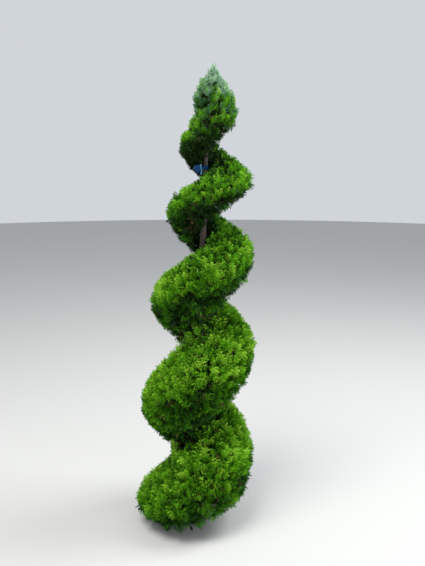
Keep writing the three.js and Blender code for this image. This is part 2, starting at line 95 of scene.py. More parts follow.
# Ramp: height of its middle line as powers of the turn, turn 0 at the left, and the masses along it
RAMP_CURVE = (0.100, 0.3855, 0.1147, -0.0619, 0.01061, -0.00063)
RAMP_SWELL = 0.030
SWELL_TURN = 4.3
SWELL_REACH = 0.4
RAMP_TURNS = np.linspace(-0.6, 5.5, 2000)
RAMP_TILT = 0.50
TILT_REACH = 0.055
RAMP_BEGIN = -1.0 / 3.0
MASS_TURNS = 1.0 / 3.0
MASS_COUNT = 14

# Groove between two turns: part of the radius that is left in it, and the turns over which that changes
GROOVE_FOOT = 0.88
GROOVE_LOW = 0.14
GROOVE_HIGH = 0.08
GROOVE_TIP = 0.95
GROOVE_OPENS = (-0.05, 0.72)
GROOVE_DEEPENS = (0.9, 2.6)
GROOVE_CLOSES = (3.95, 4.75)

# Bulge between two grooves: part of the pitch that it fills and its lean upwards, with the turns over which
# both change, its lean on the right, and how the lowest coil leans down on the left and slopes straighter
FILL_LOW = 1.03
FILL_HIGH = 0.88
FILL_SHRINKS = (1.6, 2.8)
BULGE_LIFT = 0.10
BULGE_LIFTS = (2.0, 3.2)
BULGE_SWING = 0.05
PROFILE_POWER = 0.72
FOOT_LEAN = 0.25
FOOT_SLOPE = 0.30
FOOT_FADES = (0.4, 0.6)

# Trunk, its root flare, bark and stubs of shorn branches, then the room that the foliage leaves round it
TRUNK_TOP = 1.850
TRUNK_RADIUS = 0.026
TRUNK_TIP_RADIUS = 0.004
TRUNK_TAPER = 0.9
TRUNK_LEAN = 0.041
TRUNK_BEND = 0.0136
TRUNK_BENDS = (1.55, 1.85)
FLARE = 0.015
FLARE_HEIGHT = 0.038
BARK_WAVES = 26
STUBS = 46
STUBS_FROM = 0.12
STUBS_OVER = 1.6
HOLLOW_TIP = 0.016
HOLLOW_FOOT = 0.026
CLEARANCE = 0.006
TOP_BEGINS = 1.70

# Boughs, each with the stem that carries on in its mass, and where on the stem the branches begin
BOUGH_RADIUS = 0.0065
BOUGH_THINNEST = 0.38
BOUGH_SLOPE = 0.6
LOWEST_BOUGH = 0.105
STEM_LENGTH = 0.050
STEM_FORK = 0.046

# Tufts: the grid they are drawn on, how many are drawn, their shake, how thin they stand on faces that look
# down, the least share of the sizes that the tip keeps, and those over the crown's underside
GRID_ROUND = 260
GRID_HIGH = 1100
DRAWN_PER_TUFT = 6.0
TUFT_SHAKE = 0.003
THIN_BELOW = 0.45
LOOKS_DOWN = (-0.75, -0.05)
LEAST_SCALE = 0.5
LEAST_SPACING = 0.45
HEM_TUFTS = 700
HEM_DENSITY = 0.40
HEM_INNER = 0.085
HEM_LEVEL = 0.070
HEM_INSET = 0.012

# Branches and twigs: rings along them, where they end below the surface, and their thickness, sag and aim
BRANCH_RINGS = 9
BRANCH_DEPTH = 0.075
BRANCH_SPACING = 0.085
BRANCH_RADIUS = 0.0030
BRANCH_SAG = 0.06
TOP_BRANCH_LOWEST = 1.60
TWIG_RINGS = 5
TWIG_DEPTH = (0.016, 0.034)
TWIG_RADIUS = 0.00125
TWIG_LOOSE = 0.20
TWIG_LIFTS = (-0.05, 0.80)
LEADER_LIFT = 2.2
LEADER_BEGINS = (1.76, 1.90)
BEHIND_COST = 0.06

# Sprays: their kinds, each kind's relative length, the turn from one to the next, how far a fan opens, their
# loose aim, the uneven surface they make, and how they are shorn
FINE, INNER, DEEP, TRUNK = range(4)
KIND_LENGTHS = (1.0, 1.30, 1.55, 0.85)
SPRAY_LENGTHS = (0.72, 1.22)
NEXT_TURN = 2.4
FAN_OPENS = (0.06, 0.62)
COARSE_LOOSE = 0.55
TRUNK_LOOSE = 0.45
ROLL_LOOSE = 0.70
TUFT_ROUGH = 0.0078
SPRAY_ROUGH = 0.0028
SHORN = 0.003
SLIDE = 0.6
SUNK = -0.016
GROUND_GAP = 0.018
TIP_PAST = 0.004

# Sprays on the trunk: their lowest height, the heights over which they thin out and how much lower the rest
# grow instead, the heights over which they shorten, and the share that grows in the top coil, and where
TRUNK_SPRAYS_FROM = 0.10
TRUNK_SPRAYS_FADE = (0.92, 1.12)
TRUNK_SPRAYS_DROP = 0.5
TRUNK_SPRAYS_LONG = (0.55, 0.85)
COIL_SPRAYS_SHARE = 0.17
COIL_SPRAYS = (1.548, 1.70)

# Tie: its height, the angle and distance of its knot from the trunk's middle, the loops' length, swing from
# the left to the front, and drop, and the thickness of its tape, single and folded
TIE_HEIGHT = 1.522
TIE_ANGLE = 4.15
TIE_OUT = np.array([math.cos(TIE_ANGLE), math.sin(TIE_ANGLE), 0.0])
TIE_REACH = 0.032
TIE_GAP = 0.0016
TIE_LOOPS = ((0.030, 0.25, 0.0), (0.026, 0.35, 0.65), (0.017, 0.30, -0.45), (0.013, 2.90, 0.20))
TAPE_THICK = 0.0009
FOLD_THICK = 0.0012

# Greens from the deepest painted shade to painted light on the youngest tips, then those of the top and the
# dead inner sprays
# The greens are one green made darker and brighter for light and shade, partly the real spread from young tips
# to older sprays
LEAVES = ("black", "shade", "deep", "mid", "bright", "fresh", "tip", "pale", "cool", "dead")
PALE, COOL, DEAD = (LEAVES.index(name) for name in ("pale", "cool", "dead"))

# Scores at which the next green begins, then by height the painted light that the shade keeps and the
# score's shift, painted light and shade; the top coil, painted darker but at its right edge, and where the
# cool and the pale ones begin
GREEN_STEPS = (0.12, 0.24, 0.40, 0.58, 0.76, 0.92)
SHADE_LIGHT = ((0.06, 0.17, 0.36, 0.60, 1.10, 1.30), (0.28, 0.50, 0.32, 0.36, 0.26, 0.0))
SCORE_SHIFT = ((0.20, 0.42, 0.85, 1.00, 1.30, 1.42), (-0.04, 0.07, 0.07, 0.0, 0.0, -0.12))
COIL_BEGINS = (1.46, 1.54)
COIL_ENDS = (1.66, 1.72)
DARKER_ENDS = (1.76, 1.80)
RIGHT_EDGE = (0.08, 0.11)
COOL_BEGINS = (1.66, 1.76)
COOL_FADES = (0.02, 0.12)
PALE_BEGINS = (1.755, 1.855)
TUFT_CHANCE = 0.14
SPRAY_CHANCE = 0.07

# Fronds: spread of the side shoots in radians, their relative length, bend along and cup across
FROND_KINDS = (
    (0.62, 1.00, -0.10, 0.10), (0.52, 1.10, 0.14, -0.12), (0.74, 0.92, -0.20, 0.05),
    (0.58, 1.05, 0.05, 0.22), (0.46, 0.95, 0.20, 0.08), (0.68, 1.08, -0.04, -0.20),
)
FINE_SHOOTS = 5
FINE_BLADE = 0.027
COARSE_SHOOTS = 2
COARSE_BLADE = 0.095

# Stage: the floor's radius and its drop below the foot as a share of it, each light's name, place, size,
# power and colour, and the camera's lens, place and pitch in degrees
FLOOR_RADIUS = 14.0
FLOOR_DROP = 0.00005
LIGHTS = (
    ("key", (-1.0, -1.7, 4.8), 2.2, 225.0, (1.0, 0.98, 0.93)),
    ("rim", (2.8, 0.4, 4.2), 2.0, 165.0, (0.97, 0.99, 1.0)),
    ("fill", (2.6, -3.0, 1.6), 2.6, 28.0, (1.0, 1.0, 1.0)),
)
LIGHT_AIM = (0.05, 0.0, 0.95)
SKY_COLOUR = (0.86, 0.90, 0.95, 1.0)
SKY_STRENGTH = 0.74
FLOOR_COLOUR = (0.50, 0.50, 0.49, 1.0)
LENS = 39.43
CAMERA_AT = (0.09, -2.51, 1.55)
CAMERA_PITCH = 78.8


def smooth(value, low, high):
    """0 below low, 1 above high, and between them 3t^2 - 2t^3 of the share t of the way"""
    share = np.clip((value - low) / (high - low), 0.0, 1.0)
    return share * share * (3.0 - 2.0 * share)


def band(value, begins, ends):
    """1 between two ranges of the value: rises over the first, falls over the second"""
    return smooth(value, *begins) * (1.0 - smooth(value, *ends))


def mix(first, second, share):
    """first where share is 0, second where it is 1"""
    return first + (second - first) * share


def unit(vectors):
    """Each vector over its length"""
    return vectors / np.maximum(np.linalg.norm(vectors, axis=-1, keepdims=True), 1e-9)


def turned(angle, first, second):
    """Direction at an angle from the first towards the second: cos a * first + sin a * second"""
    return np.cos(angle) * first + np.sin(angle) * second


def around(angle, rise=0.0):
    """Level direction at an angle from the right, with a rise"""
    return np.stack(np.broadcast_arrays(np.cos(angle), np.sin(angle), rise), axis=-1)


def full_circle(count):
    """That many angles, evenly round"""
    return 2.0 * np.pi * np.arange(count) / count


def by_chance(draw, chance, instead, values):
    """Values, each of them with some chance swapped for what is given instead"""
    return np.where(draw.uniform(size=len(values)) < chance, instead, values)


def centre_height(turn):
    """Height of the ramp's middle line: a polynomial in turns, swollen by a bell curve in the top coil"""
    swell = RAMP_SWELL * np.exp(-(((turn - SWELL_TURN) / SWELL_REACH) ** 2))
    return np.polynomial.polynomial.polyval(turn, RAMP_CURVE) + swell


def turn_at(height):
    """Turn whose middle line passes at a height, read off the polynomial"""
    return np.interp(height, centre_height(RAMP_TURNS), RAMP_TURNS)


def envelope(height):
    """Radius before the groove is cut: a dome sqrt(1 - s^1.8) with a waist, blended into the tip's cone"""
    dome = FOOT_RADIUS * np.sqrt(1.0 - np.clip(height / HEIGHT, 0.0, 1.0) ** DOME_POWER)
    cone = CONE_SLOPE * (HEIGHT - height)
    blend = np.clip(0.5 + 0.5 * (cone - dome) / CONE_BLEND, 0.0, 1.0)
    waist = WAIST * band(height, WAIST_BEGINS, WAIST_ENDS)
    whole = mix(cone, dome, blend) - CONE_BLEND * blend * (1.0 - blend)
    return np.maximum(whole * (1.0 - waist), THINNEST)


def groove_share(turn):
    """Part of the radius that is left in the groove: deep at mid height, running out at both ends"""
    cut = mix(GROOVE_LOW, GROOVE_HIGH, smooth(turn, *GROOVE_DEEPENS))
    begun = mix(GROOVE_FOOT, cut, smooth(turn, *GROOVE_OPENS))
    return mix(begun, GROOVE_TIP, smooth(turn, *GROOVE_CLOSES))


def angle_of(turn):
    """Angle of the ramp's middle line after so many turns"""
    return 2.0 * np.pi * (turn + 0.5)


def phase_of(angle, turn):
    """Turns from the middle of the nearest coil, from -0.5 to 0.5"""
    steps = turn - (angle / (2.0 * np.pi) - 0.5)
    return steps - np.round(steps)


def outline_radius(angle, height):
    """Radius of the clipped surface: the envelope, drawn in between turns by (1 - p^2)^0.72

    The bulge between grooves leans up on the right and down on the left, most of all in the lowest coil,
    whose upper side slopes straighter. The hem is rounded off.
    """
    turn = turn_at(height)
    phase = phase_of(angle, turn)
    fill = mix(FILL_LOW, FILL_HIGH, smooth(turn, *FILL_SHRINKS))
    foot = (0.5 - 0.5 * np.cos(angle)) * (1.0 - smooth(turn, *FOOT_FADES))
    lift = BULGE_LIFT * smooth(turn, *BULGE_LIFTS) + BULGE_SWING * np.cos(angle) - FOOT_LEAN * foot
    lifted = phase - lift * (1.0 - 4.0 * phase**2)
    power = PROFILE_POWER + FOOT_SLOPE * foot
    profile = (1.0 - np.minimum(np.abs(2.0 * lifted / fill), 1.0) ** 2) ** power
    above = height - hem_height(angle)
    hem = np.sqrt(1.0 - (np.clip(HEM_FADE - above, 0.0, HEM_FADE) / HEM_ROUND) ** 2)
    return envelope(height) * hem * mix(groove_share(turn), 1.0, profile)


def trunk_radius(height):
    """Radius of the trunk above its root flare: a taper as the 0.9th power of what is left above"""
    left = np.clip(1.0 - height / TRUNK_TOP, 0.0, 1.0)
    return TRUNK_TIP_RADIUS + (TRUNK_RADIUS - TRUNK_TIP_RADIUS) * left**TRUNK_TAPER


def trunk_offset(height):
    """Sideways place of the trunk's middle: a straight lean, with a bend below the tip"""
    return TRUNK_LEAN * height + TRUNK_BEND * smooth(height, *TRUNK_BENDS)


def hollow_radius(height):
    """Radius round the trunk that the foliage leaves free"""
    return trunk_radius(height) + HOLLOW_TIP + HOLLOW_FOOT * (1.0 - height / HEIGHT)


def crown_skew(height):
    """How far the crown's middle swings off the trunk, as a share of the radius"""
    swing = CROWN_SWING * smooth(height, *CROWN_SWINGS) - CROWN_RETURN * smooth(height, *CROWN_RETURNS)
    shift = CROWN_LEAN * height + swing - TRUNK_BEND * smooth(height, *TRUNK_BENDS)
    return shift / np.maximum(envelope(height), SKEW_RADIUS)


def tilt(radius):
    """Slope from left to right: steep by the trunk, easing outward as 1 over 1 + radius/reach"""
    return RAMP_TILT / (1.0 + radius / TILT_REACH)


def place(radius, angle, height):
    """Point of the crown: along the angle from the trunk's middle, lowered by the tilt on the right"""
    x = trunk_offset(height) + radius * (np.cos(angle) + crown_skew(height))
    z = height - tilt(radius) * radius * np.cos(angle)
    return np.stack(np.broadcast_arrays(x, radius * np.sin(angle), z), axis=-1)


def locate(points):
    """Radius, angle, height before the tilt, and turn along the ramp, of points: place worked backwards"""
    height = points[..., 2]
    for _ in range(6):
        skew = crown_skew(height)
        away = points[..., 0] - trunk_offset(height)
        square = (away * skew) ** 2 + (1.0 - skew**2) * (away**2 + points[..., 1] ** 2)
        radius = (np.sqrt(square) - away * skew) / (1.0 - skew**2)
        across = away - radius * skew
        height = points[..., 2] + tilt(radius) * across
    angle = np.arctan2(points[..., 1], across)
    turn = turn_at(height)
    phase = phase_of(angle, turn)
    along = turn - np.where(turn - phase < RAMP_BEGIN, phase - 1.0, phase)
    return radius, angle, height, along


def mass_of(along):
    """Number of the mass of foliage, from 0, at a turn along the ramp; the last is the whole top"""
    return np.clip(np.floor((along - RAMP_BEGIN) / MASS_TURNS), 0, MASS_COUNT).astype(int)


def hem_height(angle):
    """Height of the crown's ragged lower edge: lowest at the left, rising with the ramp to the right"""
    return HEM_HEIGHT + HEM_RISE * (0.5 + 0.5 * np.cos(angle)) ** HEM_POWER


# Meshes


def new_piece(name, points, faces, finishes, which=None, smooth_faces=False):
    """One mesh object from an array of points and a list of face arrays, with its finish per face"""
    mesh = bpy.data.meshes.new(name)
    sizes = np.concatenate([np.full(len(part), part.shape[1]) for part in faces])
    corners = np.concatenate([part.ravel() for part in faces])
    starts = np.concatenate([[0], np.cumsum(sizes)[:-1]])
    mesh.vertices.add(len(points))
    mesh.vertices.foreach_set("co", np.asarray(points, np.float32).ravel())
    mesh.loops.add(len(corners))
    mesh.loops.foreach_set("vertex_index", corners.astype(np.int32))
    mesh.polygons.add(len(sizes))
    mesh.polygons.foreach_set("loop_start", starts.astype(np.int32))
    mesh.polygons.foreach_set("use_smooth", np.full(len(sizes), smooth_faces))
    for finish in finishes:
        mesh.materials.append(finish)
    if which is not None:
        mesh.polygons.foreach_set("material_index", which.astype(np.int32))
    mesh.update(calc_edges=True)
    mesh.validate()
    piece = bpy.data.objects.new(name, mesh)
    bpy.context.scene.collection.objects.link(piece)
    return piece


def bezier(start, control, end, count):
    """Points of curves: (1-t)^2 start + 2t(1-t) control + t^2 end, for count values of t from 0 to 1"""
    share = np.linspace(0.0, 1.0, count)[None, :, None]
    first = (1.0 - share) ** 2 * start[:, None]
    return first + 2.0 * share * (1.0 - share) * control[:, None] + share**2 * end[:, None]


def tubes(paths, radii, sides):
    """Tubes along paths, closed at both ends: each ring is path + radius * (cos a * side + sin a * over)

    paths is limbs by rings by 3, and radii is limbs by rings, or limbs by rings by sides.
    """
    limbs, rings = paths.shape[:2]
    ahead = unit(np.gradient(paths, axis=1))
    whole = unit(paths[:, -1] - paths[:, 0])
    helper = np.where(np.abs(whole[:, 2:]) > 0.8, np.array([1.0, 0.0, 0.0]), UP)
    side = unit(np.cross(ahead, helper[:, None]))
    over = np.cross(side, ahead)
    out = turned(full_circle(sides)[:, None], side[:, :, None], over[:, :, None])
    if radii.ndim == 2:
        radii = radii[:, :, None]
    points = (paths[:, :, None] + radii[..., None] * out).reshape(-1, 3)
    base = (np.arange(limbs) * rings * sides)[:, None, None]
    ring = (np.arange(rings - 1) * sides)[None, :, None]
    here = base + ring + np.arange(sides)
    beside = base + ring + (np.arange(sides) + 1) % sides
    walls = np.stack([here, here + sides, beside + sides, beside], axis=-1).reshape(-1, 4)
    foot = base[:, 0] + np.arange(sides)
    top = base[:, 0] + (rings - 1) * sides + np.arange(sides)[::-1]
    return points, [walls, foot, top]


def rings_closed(rings, sides):
    """Faces of one tube of rings that run anticlockwise round its way: the walls, the foot and the end"""
    here = (np.arange(rings - 1) * sides)[:, None] + np.arange(sides)
    beside = (np.arange(rings - 1) * sides)[:, None] + (np.arange(sides) + 1) % sides
    walls = np.stack([here, beside, beside + sides, here + sides], axis=-1).reshape(-1, 4)
    foot = np.arange(sides)[None, ::-1]
    end = ((rings - 1) * sides + np.arange(sides))[None]
    return [walls, foot, end]


def joined(parts):
    """Several (points, faces) as one, with each kind of face kept in its own array"""
    points = []
    by_size = {}
    offset = 0
    for part_points, part_faces in parts:
        points.append(part_points)
        for faces in part_faces:
            by_size.setdefault(faces.shape[1], []).append(faces + offset)
        offset += len(part_points)
    return np.concatenate(points), [np.concatenate(faces) for faces in by_size.values()]


# Materials


class Field:
    """A socket of numbers in a material: + - * on it, and clamped, add the Math nodes"""

    def __init__(self, finish, socket):
        self.finish = finish
        self.socket = socket

    def _math(self, operation, first, second, clamp=False):
        values = {0: first, 1: second}
        node = self.finish.node("ShaderNodeMath", {"operation": operation, "use_clamp": clamp}, values)
        return Field(self.finish, node.outputs[0])

    def __add__(self, other):
        return self._math("ADD", self, other)

    __radd__ = __add__

    def __sub__(self, other):
        return self._math("SUBTRACT", self, other)

    def __rsub__(self, other):
        return self._math("SUBTRACT", other, self)

    def __mul__(self, other):
        return self._math("MULTIPLY", self, other)

    __rmul__ = __mul__

    def clamped(self):
        """The value kept between 0 and 1"""
        return self._math("ADD", self, 0.0, clamp=True)


class Finish:
    """A material with one Principled shader, whose even values are set on the shader's own sockets"""

    def __init__(self, name, **even):
        self.material = bpy.data.materials.new(name)
        self.material.use_nodes = True
        self.tree = self.material.node_tree
        self.shader = self.tree.nodes["Principled BSDF"]
        for label, value in even.items():
            self.shader.inputs[label.replace("_", " ")].default_value = value

    def node(self, kind, settings=None, values=None):
        """A new node: its settings first, then the values or links of its sockets"""
        node = self.tree.nodes.new(kind)
        for name, value in (settings or {}).items():
            if name == "stops":
                self._stops(node.color_ramp, value)
            else:
                setattr(node, name, value)
        for key, value in (values or {}).items():
            if isinstance(value, Field):
                value = value.socket
            if isinstance(value, bpy.types.NodeSocket):
                self.tree.links.new(value, node.inputs[key])
            else:
                node.inputs[key].default_value = value
        return node

    @staticmethod
    def _stops(ramp, stops):
        while len(ramp.elements) < len(stops):
            ramp.elements.new(1.0)
        for element, (place_on_ramp, color) in zip(ramp.elements, stops):
            element.position = place_on_ramp
            element.color = (*color, 1.0)

    def spots(self, scale, stretch=(1.0, 1.0, 1.0), detail=4.0, roughness=0.55):
        """Noise on Object coordinates, stretched along the axes"""
        where = self.node("ShaderNodeTexCoord").outputs["Object"]
        mapped = self.node("ShaderNodeMapping", values={"Vector": where, "Scale": stretch})
        values = {"Vector": mapped.outputs[0], "Scale": scale, "Detail": detail, "Roughness": roughness}
        return Field(self, self.node("ShaderNodeTexNoise", values=values).outputs["Fac"])

    def ramp(self, field, stops):
        """Colour from a field through the stops"""
        return self.node("ShaderNodeValToRGB", {"stops": stops}, {"Fac": field}).outputs["Color"]

    def blend(self, factor, first, second):
        """Mix of two colours"""
        values = {0: factor, 6: first, 7: second}
        return self.node("ShaderNodeMix", {"data_type": "RGBA"}, values).outputs[2]

    def link(self, label, value):
        """Feeds one socket of the shader"""
        self.tree.links.new(value.socket if isinstance(value, Field) else value, self.shader.inputs[label])

    def bump(self, height, depth, strength=1.0):
        """Relief of the surface from a field, in metres at full height"""
        values = {"Strength": strength, "Distance": depth, "Height": height}
        self.link("Normal", self.node("ShaderNodeBump", values=values).outputs["Normal"])


def scaled_colour(colour, factor, added=0.0):
    """A colour times a factor, plus a value, up to 1"""
    return tuple(min(1.0, factor * value + added) for value in colour)


def bark_finish(colours):
    """Fibrous bark: grey-brown strips with redder cracks, paler flakes and green algae in patches"""
    finish = Finish("bark", Specular_IOR_Level=0.25)
    strips = finish.spots(95.0, (1.0, 1.0, 0.10), detail=6.0, roughness=0.65)
    flakes = finish.spots(210.0, (1.0, 1.0, 0.35), detail=3.0, roughness=0.5)
    patches = finish.spots(14.0, (1.0, 1.0, 0.6), detail=3.0, roughness=0.6)
    base = tuple(colours.bark)
    red = (base[0] * 1.15, base[1] * 0.88, base[2] * 0.78)
    stops = [(0.30, scaled_colour(base, 0.32)), (0.44, red), (0.56, base), (0.72, scaled_colour(base, 1.9, 0.04))]
    algae = (0.10, 0.13, 0.055, 1.0)
    colour = finish.ramp((strips * 0.75 + flakes * 0.25).clamped(), stops)
    mask = (((patches - 0.56) * 5.0).clamped() * 0.45).clamped()
    finish.link("Base Color", finish.blend(mask, colour, algae))
    finish.link("Roughness", (0.98 - strips * 0.22).clamped())
    finish.bump(strips * 0.7 + flakes * 0.3, 0.0022, 0.8)
    return finish.material


def twig_finish(colours):
    """Thin brown twigs: warm brown with darker lengths, matt"""
    finish = Finish("twig_brown", Specular_IOR_Level=0.3)
    lengths = finish.spots(60.0, detail=3.0)
    stops = [(0.32, scaled_colour(colours.twig, 0.45)), (0.5, colours.twig), (0.7, scaled_colour(colours.twig, 1.5))]
    finish.link("Base Color", finish.ramp(lengths, stops))
    finish.link("Roughness", (0.95 - lengths * 0.3).clamped())
    return finish.material


def tie_finish(name, colour):
    """Plastic tape: satin, a little dusty in patches, with fine lengthwise creases"""
    finish = Finish(name, Specular_IOR_Level=0.15)
    dust = finish.spots(120.0)
    creases = finish.spots(500.0, (1.0, 1.0, 0.3), detail=2.0)
    finish.link("Base Color", finish.ramp(dust, [(0.45, colour), (0.75, scaled_colour(colour, 0.8, 0.005))]))
    finish.link("Roughness", (0.30 + dust * 0.35).clamped())
    finish.bump(creases, 0.0004, 0.5)
    return finish.material


def leaf_finishes(colours):
    """The plain colours of the sprays, in the order of LEAVES, where black is half of shade: painted light and
    shade as well as the greens' own tones
    """
    made = []
    for name in LEAVES:
        # Black, half of shade, is the deepest painted shade
        green = scaled_colour(colours.shade, 0.5) if name == "black" else getattr(colours, name)
        finish = Finish(f"leaf_{name}", Base_Color=(*green, 1.0), Roughness=0.6, Specular_IOR_Level=0.15)
        made.append(finish.material)
    return made


# Bark


def bark_relief(turn, rise, seed):
    """Height of bark ridges over angle and rise: waves round the limb, each wound and wavy along it

    A wave is cos(count * turn + tilt * rise + start), less high the finer it is; the sum is about 1 at most.
    """
    draw = np.random.default_rng(seed)
    relief = np.zeros(np.broadcast(turn, rise).shape)
    for _ in range(BARK_WAVES):
        count = draw.integers(3, 22)
        tilt = draw.normal(0.0, 26.0)
        start = draw.uniform(0.0, 2.0 * np.pi)
        wave = np.cos(count * turn + tilt * rise + start + 0.8 * np.sin(19.0 * rise + start))
        relief += wave / math.sqrt(count)
    return relief / 5.0


def trunk_surface():
    """Trunk as angle by height: taper, lobed root flare, bark ridges and the stubs of shorn branches"""
    sides, rings, foot_rings = 56, 300, 60
    foot = np.linspace(0.0, 0.16, foot_rings)
    above = np.linspace(0.165, TRUNK_TOP, rings - foot_rings)
    turn, rise = np.meshgrid(full_circle(sides), np.concatenate([foot, above]))
    lobes = 1.0 + 0.4 * np.cos(5.0 * turn + 0.6) + 0.2 * np.cos(2.0 * turn - 0.9)
    spread = 1.0 + FLARE * lobes * np.exp(-rise / FLARE_HEIGHT) / TRUNK_RADIUS
    girth = trunk_radius(rise) * spread
    draw = np.random.default_rng(11)
    stubs = np.zeros_like(girth)
    for stub in range(STUBS):
        stub_height = STUBS_FROM + STUBS_OVER * stub / STUBS + draw.uniform(-0.015, 0.015)
        stub_angle = NEXT_TURN * stub + draw.uniform(-0.4, 0.4)
        across = np.angle(np.exp(1j * (turn - stub_angle))) * girth
        wide = draw.uniform(0.0028, 0.0045)
        bell = np.exp(-(across**2 + (rise - stub_height) ** 2) / (2.0 * wide**2))
        stubs += draw.uniform(0.0015, 0.0040) * np.minimum(bell * 1.6, 1.0)
    ridges = 0.05 * girth * bark_relief(turn, rise, 5)
    radius = girth + ridges + stubs * smooth(TRUNK_TOP - rise, 0.0, 0.2)
    x = trunk_offset(rise) + radius * np.cos(turn)
    points = np.stack([x, radius * np.sin(turn), rise], axis=-1).reshape(-1, 3)
    return points, rings_closed(rings, sides)


def bough_lines():
    """Start on the trunk's middle, end in the mass, and radius, of each mass's bough"""
    turn = RAMP_BEGIN + (np.arange(MASS_COUNT) + 0.5) * MASS_TURNS
    height = np.maximum(centre_height(turn), LOWEST_BOUGH)
    angle = angle_of(turn)
    end = place(hollow_radius(height) - CLEARANCE, angle, height)
    start = place(np.zeros_like(height), angle, height)
    start[:, 2] = end[:, 2] - BOUGH_SLOPE * np.hypot(*(end - start)[:, :2].T)
    radius = BOUGH_RADIUS * np.maximum(trunk_radius(height) / TRUNK_RADIUS, BOUGH_THINNEST)
    return start, end, radius


def bough_surface():
    """Boughs and the stems that carry on in their masses: tapering tubes with a collar and ridges"""
    rings, sides = 26, 14
    start, end, radius = bough_lines()
    tip = end + unit(end - start) * STEM_LENGTH
    paths = bezier(start, (start + tip) / 2.0, tip, rings)
    share = np.linspace(0.0, 1.0, rings)[None, :, None]
    ridges = 0.08 * bark_relief(full_circle(sides), share * 0.3, 8)
    collar = 1.0 + 0.5 * np.exp(-np.square((share - 0.28) / 0.12))
    radii = radius[:, None, None] * (1.0 - 0.55 * share) * collar * (1.0 + ridges)
    return tubes(paths, radii, sides)


# Growth


